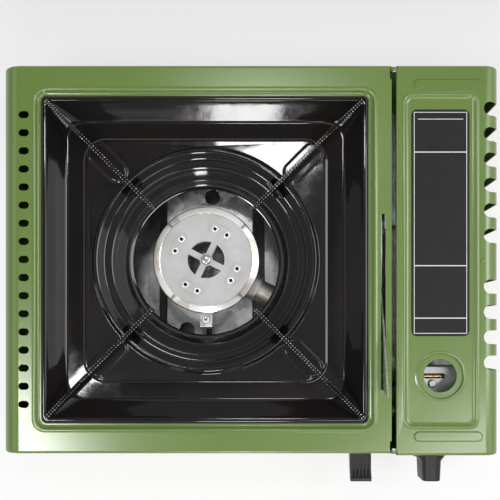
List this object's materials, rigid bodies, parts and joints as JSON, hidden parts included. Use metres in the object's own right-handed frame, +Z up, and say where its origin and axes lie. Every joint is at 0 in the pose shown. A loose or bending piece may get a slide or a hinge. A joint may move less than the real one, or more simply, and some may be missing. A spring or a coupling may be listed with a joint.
{
  "type": "cassette stove",
  "caption": "Portable gas stove with a pressed body, hinged cassette cover, lift-out drip tray, pan supports, burner, valve knob, cassette lock lever and folding pan guard.",
  "frame": {"origin": "on the ground under the middle of the whole stove, knob and lever included", "axes": "+X to the cassette side, -Y to the front with the knob and the lever, +Z up"},
  "size_m": [0.343, 0.2919, 0.109],
  "materials": {
    "green_enamel": "satin olive green powder coat on pressed steel",
    "black_enamel": "glossy black fired enamel",
    "label_black": "gloss black plate with a thin pale keyline and dividers, no lettering",
    "galvanised": "galvanised sheet, fine spangle",
    "bright_steel": "bright zinc-plated steel",
    "polished_ring": "polished stainless ring",
    "burner_steel": "fine matte stainless plate",
    "cast_aluminium": "cast aluminium, lightly blasted",
    "tube_aluminium": "warm grey cast aluminium",
    "brass": "turned brass",
    "white_ceramic": "unglazed white ceramic",
    "black_plastic": "fine-grained black moulding",
    "black_gloss_plastic": "glossy black moulding",
    "black_rubber": "matte black rubber",
    "wire_sleeve": "black silicone sleeve"
  },
  "bodies": {
    "chassis": {"body_shell": "green_enamel", "base_plate": "galvanised", "base_screws": "bright_steel", "rubber_feet": "black_rubber", "heat_divider": "galvanised", "burner_channel": "galvanised", "burner_base": "cast_aluminium", "burner_ring": "polished_ring", "burner_plate": "burner_steel", "burner_eyelets": "bright_steel", "burner_screw": "brass", "burner_leg_screws": "bright_steel", "mixing_tube": "tube_aluminium", "igniter_bracket": "galvanised", "igniter_ceramic": "white_ceramic", "igniter_electrode": "bright_steel", "piezo_igniter": "black_plastic", "ignition_wire": "wire_sleeve", "regulator_body": "cast_aluminium", "regulator_cap": "galvanised", "gas_nozzle": "brass", "receiver_seal": "black_rubber", "regulator_bracket": "galvanised", "regulator_screws": "bright_steel", "shutoff_plunger": "brass", "plunger_seal": "black_rubber", "dial_plate": "black_gloss_plastic", "lever_bracket": "galvanised", "lever_frame": "black_plastic", "cassette_collar": "galvanised", "cassette_cradle": "galvanised", "hinge_pins": "bright_steel", "guard_hanger": "galvanised"},
    "cover": {"cassette_cover": "green_enamel", "label_plate": "label_black", "cover_dimple": "green_enamel"},
    "knob_set": {"knob": "black_plastic", "valve_spindle": "brass"},
    "lever": {"lock_lever": "black_plastic", "lever_shaft": "bright_steel", "lever_crank": "galvanised"},
    "carriage": {"cassette_carriage": "galvanised"},
    "tray": {"drip_tray": "black_enamel", "pan_support_rear_right": "black_enamel", "pan_support_rear_left": "black_enamel", "pan_support_front_left": "black_enamel", "pan_support_front_right": "black_enamel"},
    "guard_slider": {"guard_pin": "bright_steel"},
    "guard": {"guard_arm": "bright_steel"}
  },
  "joints": [
    {"name": "cover_hinge", "type": "hinge", "parent": "chassis", "child": "cover", "pos_m": [0.0988, 0.0118, 0.0845], "axis": [0, -1, 0], "range_deg": [0, 95]},
    {"name": "knob_turn", "type": "hinge", "parent": "chassis", "child": "knob_set", "pos_m": [0.13, -0.13, 0.045], "axis": [0, -1, 0], "range_deg": [0, 100]},
    {"name": "lever_press", "type": "hinge", "parent": "chassis", "child": "lever", "pos_m": [0.0798, -0.099, 0.036], "axis": [1, 0, 0], "range_deg": [0, 25]},
    {"name": "carriage_slide", "type": "slide", "parent": "chassis", "child": "carriage", "axis": [0, -1, 0], "range_m": [0, 0.0082]},
    {"name": "tray_lift", "type": "slide", "parent": "chassis", "child": "tray", "axis": [0, 0, 1], "range_m": [0, 0.06]},
    {"name": "guard_shift", "type": "slide", "parent": "chassis", "child": "guard_slider", "axis": [0, 1, 0], "range_m": [0, 0.0095]},
    {"name": "guard_fold", "type": "hinge", "parent": "guard_slider", "child": "guard", "pos_m": [0.0914, 0.0389, 0.074], "axis": [1, 0, 0], "range_deg": [0, 12.5]}
  ],
  "couplings": [
    {"joint": "carriage_slide", "follows": "lever_press", "m_per_rad": 0.01879},
    {"joint": "guard_shift", "follows": "guard_fold", "m_per_rad": 0.04354}
  ]
}
